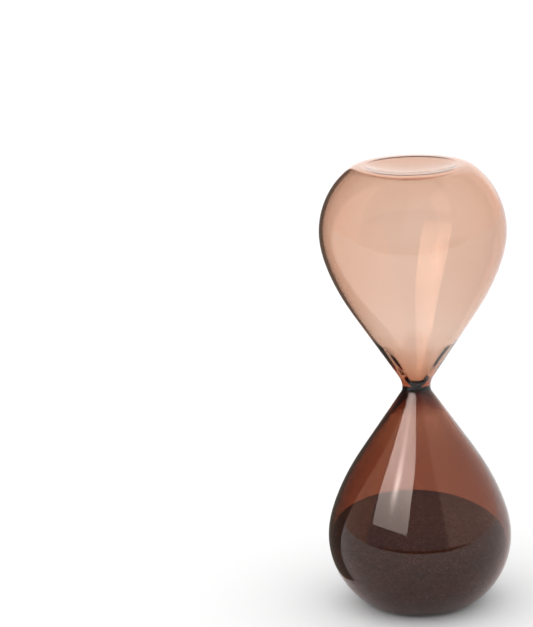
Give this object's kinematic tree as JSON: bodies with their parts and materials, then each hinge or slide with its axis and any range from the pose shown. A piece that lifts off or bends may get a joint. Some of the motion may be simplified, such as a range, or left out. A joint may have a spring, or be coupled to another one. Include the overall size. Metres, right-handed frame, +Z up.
{
  "type": "hourglass",
  "caption": "Frameless blown-glass sandglass: a pale peach bulb fused to a dark brown bulb at a pinched neck, dimpled ends to stand on, dark sand inside.",
  "frame": {"origin": "middle of the lower foot ring, on the plane the hourglass stands on", "axes": "+Z up along the axis of both bulbs, towards the pale bulb; the sand's surface rises towards +Y (back) and a little towards -X"},
  "size_m": [0.0616, 0.0616, 0.15],
  "materials": {
    "pale_glass": "clear polished",
    "dark_glass": "clear polished",
    "seal_glass": "clear polished",
    "sand": "matte fine grain"
  },
  "bodies": {
    "root": {"upper_bulb": "pale_glass", "lower_bulb": "dark_glass", "fill_seal": "seal_glass", "sand": "sand"}
  },
  "joints": []
}
